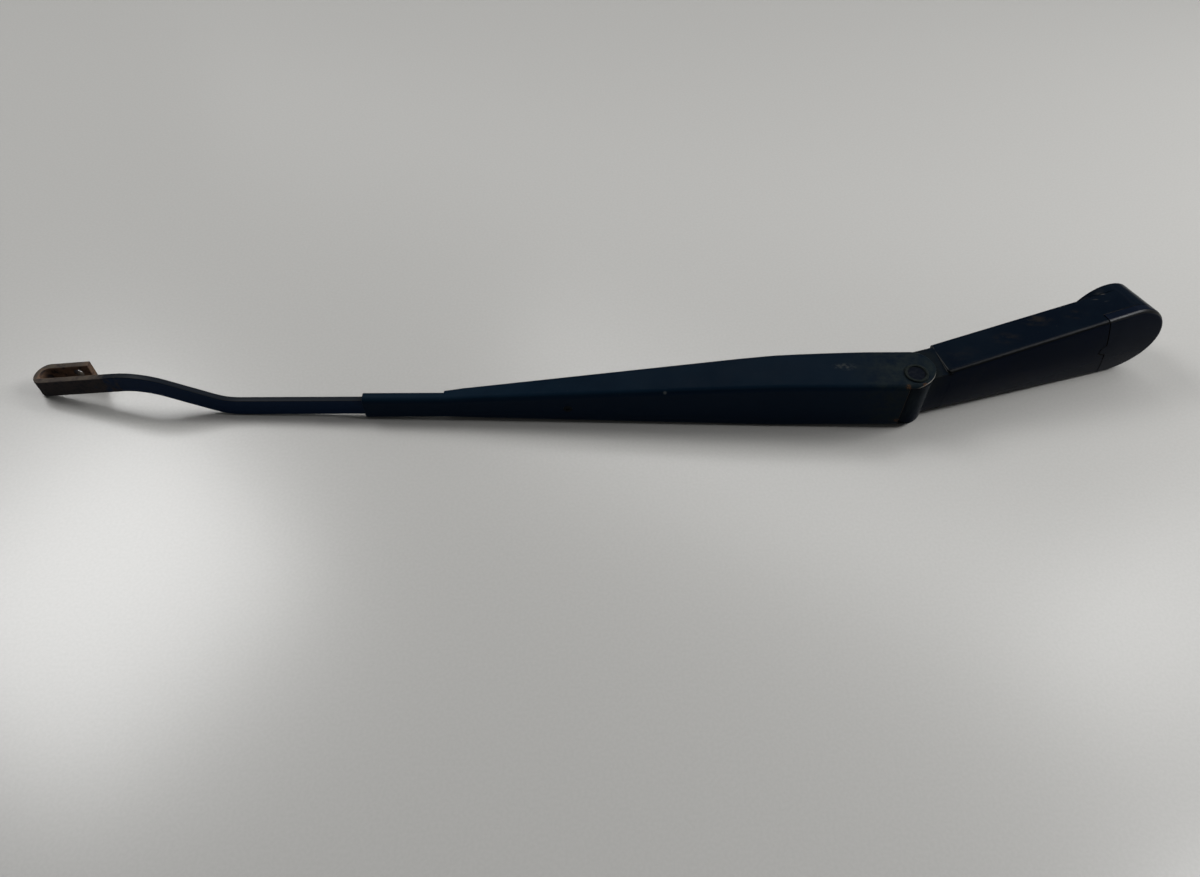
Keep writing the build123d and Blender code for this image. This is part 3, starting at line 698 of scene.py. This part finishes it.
def bridge_point(t):
    """A smooth curve that leaves the coil and enters the loop in their own directions."""
    return ((2 * t**3 - 3 * t**2 + 1) * leave + (t**3 - 2 * t**2 + t) * leave_pull
            + (-2 * t**3 + 3 * t**2) * arrive + (t**3 - t**2) * arrive_pull)


path = coil + [bridge_point(i / BRIDGE_STEPS) for i in range(1, BRIDGE_STEPS)] + loop
print("spring path has", len(path), "points")

# %% [markdown]
# ## The spring's wire
#
# A bevelled curve would give a round wire too, but a ring of points that is carried along the path, and kept
# from twisting by turning it only as far as the path turns, gives a clean closed mesh at once.

# %% Wind the spring
WIRE = 0.9 * MM
WIRE_SIDES = 10


def wire_mesh(points, radius, sides):
    """A round wire along a list of points, closed at both ends."""
    mesh = bmesh.new()
    rings = []
    across = side.copy()
    for i, point in enumerate(points):
        ahead = (points[min(i + 1, len(points) - 1)] - points[max(i - 1, 0)]).normalized()
        across = (across - ahead * across.dot(ahead)).normalized()
        over = ahead.cross(across)
        rings.append([mesh.verts.new(point + radius * (across * math.cos(a) + over * math.sin(a)))
                      for a in (2 * math.pi * k / sides for k in range(sides))])
    for a, b in zip(rings, rings[1:]):
        for k in range(sides):
            mesh.faces.new((a[k], a[(k + 1) % sides], b[(k + 1) % sides], b[k]))
    mesh.faces.new(reversed(rings[0]))
    mesh.faces.new(rings[-1])
    return mesh


spring = piece_from(wire_mesh(path, WIRE, WIRE_SIDES), "wound_spring", steel_finish)
stand_for(spring, "tension_spring", "spring")
print("spring", len(spring.data.polygons), "faces")

# %% [markdown]
# ## The table
#
# The arm lies on a plain pale table with a slight sheen, which shows the windows as soft pale pools. The
# plane takes the lean that the three resting points gave. A fine grain in its colour is enough: noise in
# its roughness would draw contour lines through the pools.

# %% Table
TABLE_SIZE = 6
TABLE_DARK = (0.446, 0.440, 0.424)
TABLE_PALE = (0.464, 0.458, 0.442)

bpy.ops.mesh.primitive_plane_add(size=TABLE_SIZE)
table = bpy.context.object
table.name = "table"
table.rotation_mode = "QUATERNION"
table.rotation_quaternion = Vector((0, 0, 1)).rotation_difference(table_up)
table.location = rest_point
top = Finish("table_top")
colour = top.mix(top.band(top.noise(800, 2), 0.3, 0.7), TABLE_DARK, TABLE_PALE)
table.data.materials.append(top.set(Base_Color=colour, Specular_IOR_Level=0.55, Roughness=0.27))

# %% [markdown]
# ## The lamps
#
# Daylight comes from a large window behind on the left and a smaller one on the right: the sheen shows them
# as two pale pools in front of the arm. A lamp on the right draws the light line on the head's handled
# edge, a lower one beside it fills the right, and a pale wall behind fills the rest. Sun lamps would be
# simpler, but each of these is a rectangular area lamp, because its size sets how soft the edge of a shadow
# gets. The filling lamp is kept out of reflections, so the table doesn't mirror it.

# %% Lamps
AIM = HINGE + Vector((-0.12, 0, 0))


def soft_lamp(name, place, width, height, watts):
    data = bpy.data.lights.new(name, "AREA")
    data.shape = "RECTANGLE"
    data.size = width
    data.size_y = height
    data.energy = watts
    lamp = bpy.data.objects.new(name, data)
    lamp.location = HINGE + Vector(place)
    lamp.rotation_mode = "QUATERNION"
    lamp.rotation_quaternion = (lamp.location - AIM).to_track_quat("Z", "Y")
    bpy.context.scene.collection.objects.link(lamp)
    print(name, "radiates", round(watts / math.pi / width / height, 1), "W per square metre and steradian")
    return lamp


soft_lamp("left_window", (-0.793, 0.418, 0.854), 0.50, 0.40, 6.4)
soft_lamp("right_window", (0.730, 0.330, 0.750), 0.30, 0.34, 1.2)
side_lamp = soft_lamp("side_lamp", (0.836, 0.169, 0.516), 0.30, 0.30, 4.4)
side_lamp.visible_glossy = False
soft_lamp("edge_lamp", (0.787, -0.091, 0.830), 0.26, 0.28, 3.6)
soft_lamp("back_wall", (0.247, 0.600, 0.822), 1.10, 0.20, 2.3)
soft_lamp("back_wall_low", (0.085, 1.078, 0.579), 1.80, 0.20, 0.6)

# %% [markdown]
# ## The room
#
# The rest of the room only lifts the shadows a little. It is a world that grows slightly brighter towards
# the windows' side; a picture of a real room would do the same, but this needs no image file.

# %% Room
ROOM_TINT = (0.97, 0.99, 1.0, 1)
WINDOW_SIDE = (0, 0.6, 0.8)
ROOM_SHADE = {"From Min": -0.1, "From Max": 1.0, "To Min": 0.08, "To Max": 0.11}

world = bpy.data.worlds.new("room")
world.use_nodes = True
room = world.node_tree
background = room.nodes["Background"]
facing = room.nodes.new("ShaderNodeVectorMath")
facing.operation = "DOT_PRODUCT"
facing.inputs[1].default_value = WINDOW_SIDE
room.links.new(room.nodes.new("ShaderNodeTexCoord").outputs["Generated"], facing.inputs[0])
shade = room.nodes.new("ShaderNodeMapRange")
shade.interpolation_type = "SMOOTHSTEP"
for socket, number in ROOM_SHADE.items():
    shade.inputs[socket].default_value = number
room.links.new(facing.outputs["Value"], shade.inputs["Value"])
background.inputs["Color"].default_value = ROOM_TINT
room.links.new(shade.outputs["Result"], background.inputs["Strength"])
bpy.context.scene.world = world
bpy.context.scene.view_settings.view_transform = "Standard"
print("room strength", ROOM_SHADE["To Min"], "to", ROOM_SHADE["To Max"])

# %% [markdown]
# ## Sizes
#
# Softened edges and the wound spring may not make the arm bigger.
